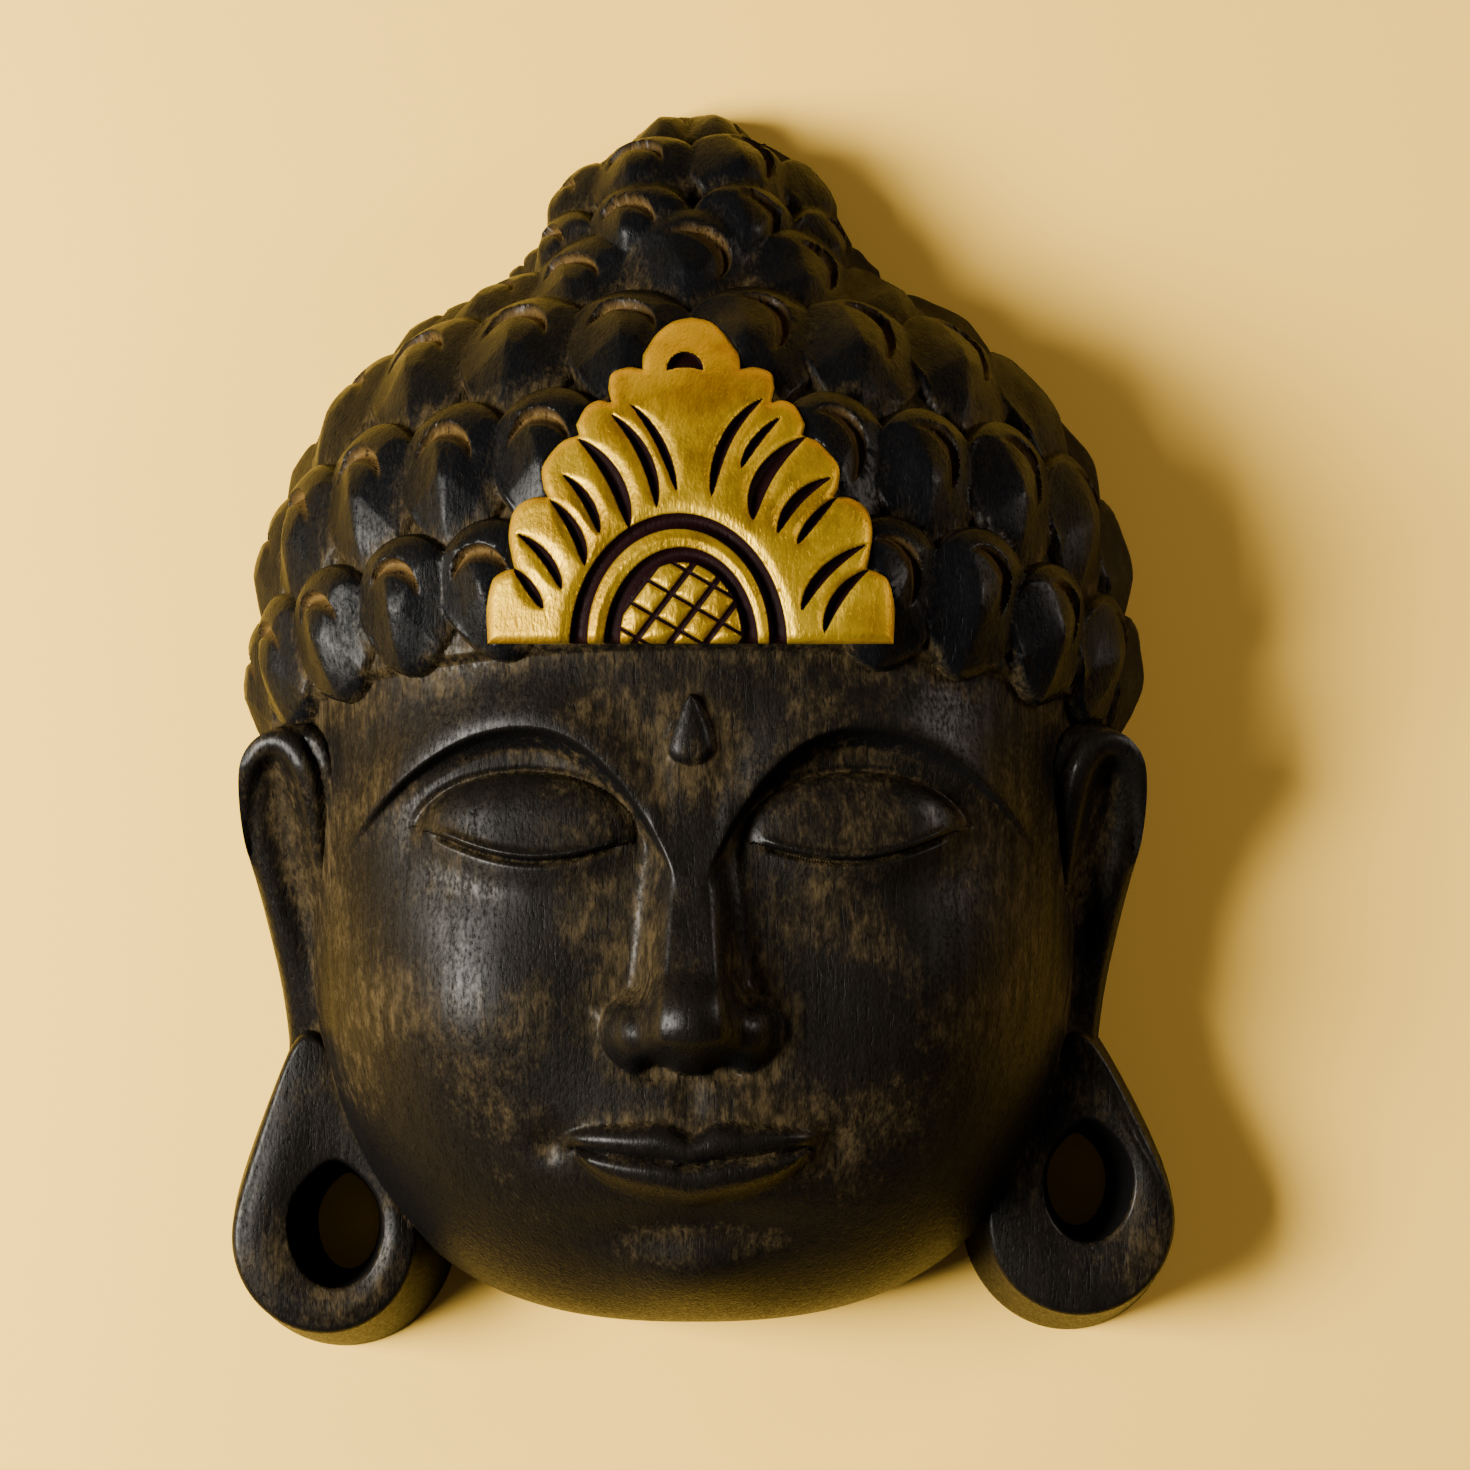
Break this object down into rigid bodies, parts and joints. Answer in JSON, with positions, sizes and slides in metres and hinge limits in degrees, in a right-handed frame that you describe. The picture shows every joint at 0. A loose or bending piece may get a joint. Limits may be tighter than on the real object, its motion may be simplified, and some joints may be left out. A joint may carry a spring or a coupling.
{
  "type": "buddha mask",
  "caption": "Carved wooden wall mask of a Buddha's head with snail-curl hair, a gilded leaf crest, long pierced ear lobes and a hollow back.",
  "frame": {"origin": "centre of the bounding box, on the plane of the flat back rim", "axes": "+X to the right as the face is seen, +Y towards the crown, +Z out of the face; the mask lies on its back"},
  "size_m": [0.2306, 0.3006, 0.1022],
  "materials": {
    "stained_wood": "near-black stained and waxed wood, rubbed back to olive brown in the hollows",
    "gold_leaf": "burnished gold leaf over dark red bole on the crest, part of the same block"
  },
  "bodies": {
    "root": {"mask": "stained_wood"}
  },
  "joints": []
}
